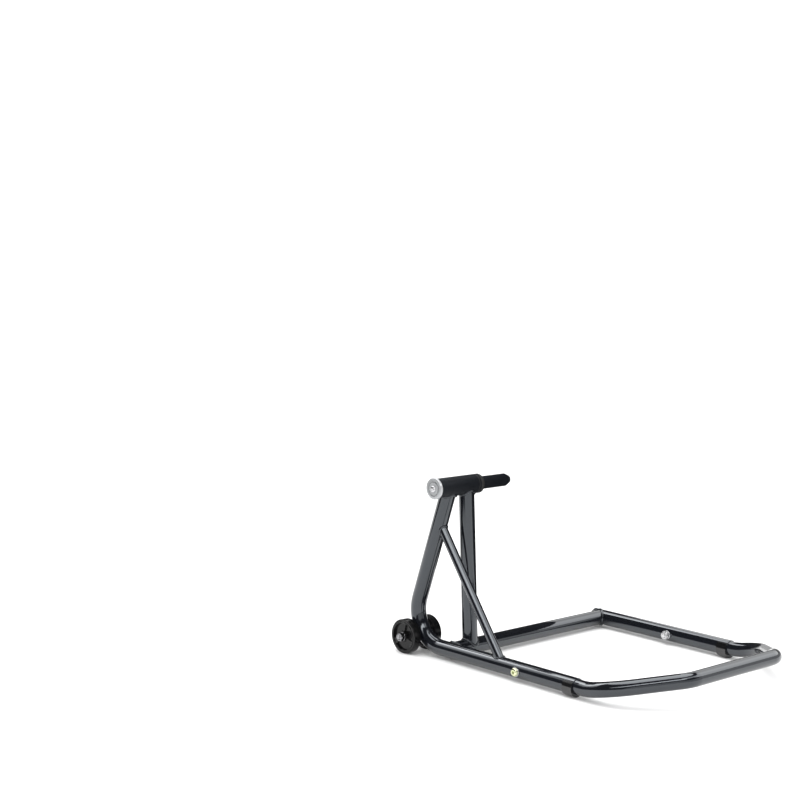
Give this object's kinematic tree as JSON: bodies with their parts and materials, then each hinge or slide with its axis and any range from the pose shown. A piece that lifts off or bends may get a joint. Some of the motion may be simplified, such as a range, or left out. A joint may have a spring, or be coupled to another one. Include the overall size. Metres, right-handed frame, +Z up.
{
  "type": "paddock stand",
  "caption": "Rear paddock stand of bent black steel tube with a turning lifting pin for a hollow hub, a pair of ground wheels and a bolted U-shaped lever handle.",
  "frame": {"origin": "middle of the footprint, on the floor that the raised stand rests on", "axes": "+X rearward from the wheels to the handle, +Y to the motorcycle's right, the way the lifting pin points, +Z up"},
  "size_m": [0.7208, 0.5724, 0.399],
  "materials": {
    "frame_paint": "gloss black powder coat",
    "sleeve_paint": "satin black powder coat",
    "pin_steel": "satin black oxide",
    "cap_metal": "turned, satin",
    "zinc_yellow": "yellow passivated zinc",
    "zinc_silver": "bright zinc",
    "wheel_plastic": "moulded black, semi-gloss",
    "bush_plastic": "black nylon",
    "bush_steel": "bright steel",
    "ring_rubber": "matte black",
    "saddle_rubber": "smooth black",
    "plug_plastic": "matte black"
  },
  "bodies": {
    "frame": {"main_tube": "frame_paint", "post_tube": "frame_paint", "cross_tube": "frame_paint", "right_side_tube": "frame_paint", "brace_tube": "frame_paint", "pin_sleeve": "sleeve_paint", "outer_sleeve_bush": "bush_plastic", "inner_sleeve_bush": "bush_plastic", "axle_boss": "frame_paint", "axle_bolt": "zinc_silver", "axle_nut": "zinc_silver", "axle_washers": "zinc_silver", "handle": "frame_paint", "handle_bolts": "zinc_yellow", "handle_nuts": "zinc_silver", "handle_washers": "zinc_silver", "left_foot_saddle": "saddle_rubber", "right_foot_saddle": "saddle_rubber", "front_end_plug": "plug_plastic"},
    "outer_wheel_body": {"outer_wheel": "wheel_plastic", "outer_wheel_bush": "bush_steel"},
    "inner_wheel_body": {"inner_wheel": "wheel_plastic", "inner_wheel_bush": "bush_steel"},
    "pin_body": {"lifting_pin": "pin_steel", "pin_ring": "ring_rubber", "end_cap": "cap_metal", "end_cap_bolt": "zinc_silver"}
  },
  "joints": [
    {"name": "outer_wheel_spin", "type": "hinge", "parent": "frame", "child": "outer_wheel_body", "pos_m": [-0.32292, -0.26235, 0.0375], "axis": [0, 1, 0], "continuous": true},
    {"name": "inner_wheel_spin", "type": "hinge", "parent": "frame", "child": "inner_wheel_body", "pos_m": [-0.32292, -0.20035, 0.0375], "axis": [0, 1, 0], "continuous": true},
    {"name": "lifting_pin_spin", "type": "hinge", "parent": "frame", "child": "pin_body", "pos_m": [-0.22892, -0.21585, 0.376], "axis": [0, 1, 0], "continuous": true}
  ]
}
